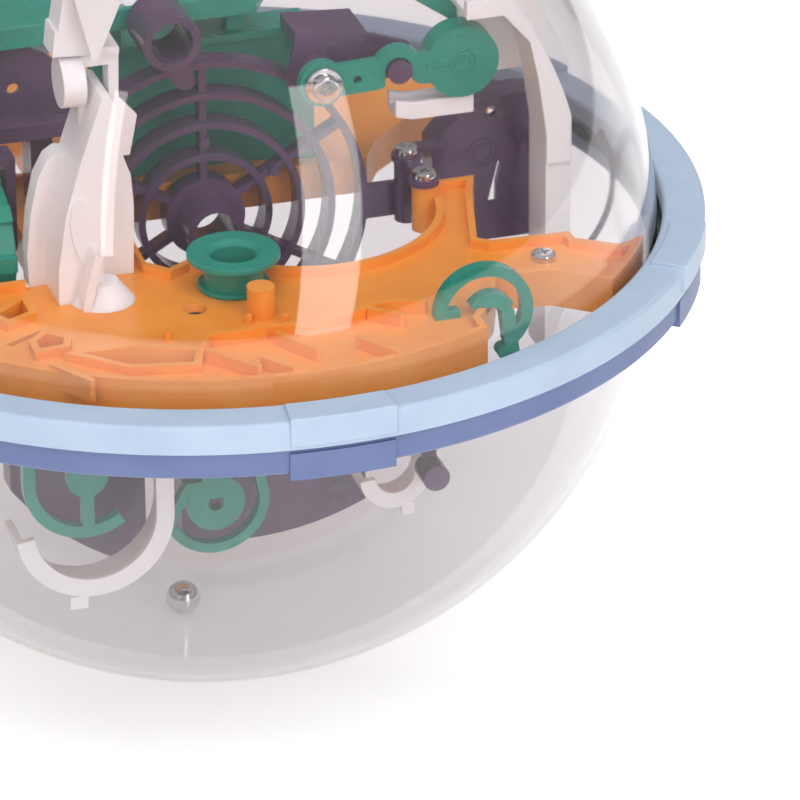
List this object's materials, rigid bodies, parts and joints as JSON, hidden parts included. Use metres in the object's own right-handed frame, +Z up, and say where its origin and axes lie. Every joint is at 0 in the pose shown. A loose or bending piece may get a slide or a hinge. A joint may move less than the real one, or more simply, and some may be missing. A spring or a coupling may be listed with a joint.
{
  "type": "maze ball puzzle",
  "caption": "Clear ball of two domes joined by a blue seam ring, around a fixed coloured plastic maze course with a loose steel marble.",
  "frame": {"origin": "centre of the ball, on the plane of the seam between the domes", "axes": "+Z up through the upper dome's pole, -Y towards the front, +X to the right seen from the front"},
  "size_m": [0.2208, 0.222, 0.199],
  "materials": {
    "clear_plastic": "clear polystyrene, polished",
    "pale_blue_plastic": "satin moulded",
    "violet_blue_plastic": "satin moulded",
    "orange_plastic": "satin moulded",
    "plum_plastic": "satin moulded",
    "milky_plastic": "satin moulded, slightly translucent",
    "green_plastic": "satin moulded",
    "steel": "bright zinc plated",
    "ball_steel": "polished"
  },
  "bodies": {
    "ball_frame": {"upper_dome": "clear_plastic", "lower_dome": "clear_plastic", "upper_ring": "pale_blue_plastic", "lower_ring": "violet_blue_plastic", "deck": "orange_plastic", "target_wheel": "plum_plastic", "quadrant": "plum_plastic", "right_arch": "milky_plastic", "left_arch": "milky_plastic", "right_shelf": "milky_plastic", "guide_column": "milky_plastic", "column_bracket": "milky_plastic", "cup": "green_plastic", "hook_loop": "green_plastic", "flipper_carrier": "plum_plastic", "flipper_screw": "steel", "upper_arm": "green_plastic", "back_wall": "green_plastic", "upper_trough": "green_plastic", "left_track": "plum_plastic", "drum_axle": "steel", "drum_bracket": "plum_plastic", "lower_right_tray": "plum_plastic", "lower_left_tray": "plum_plastic", "lower_loop": "green_plastic", "lower_hook": "green_plastic", "lower_slide": "milky_plastic", "lower_chute": "milky_plastic", "lower_peg": "plum_plastic", "deck_screws": "steel"},
    "flipper": {"flipper": "green_plastic"},
    "paddle_drum": {"paddle_drum": "green_plastic"},
    "marble": {"marble": "ball_steel"}
  },
  "joints": [
    {"name": "flipper_tilt", "type": "hinge", "parent": "ball_frame", "child": "flipper", "pos_m": [0.026, -0.00525, 0.034], "axis": [0, -1, 0], "range_deg": [0, 4]},
    {"name": "drum_spin", "type": "hinge", "parent": "ball_frame", "child": "paddle_drum", "pos_m": [-0.053, -0.009, 0.009], "axis": [1, 0, 0], "continuous": true},
    {"name": "marble_roll", "type": "hinge", "parent": "ball_frame", "child": "marble", "pos_m": [0, 0, 0], "axis": [0.6544, 0.7562, 0], "range_deg": [-58, 55]}
  ]
}
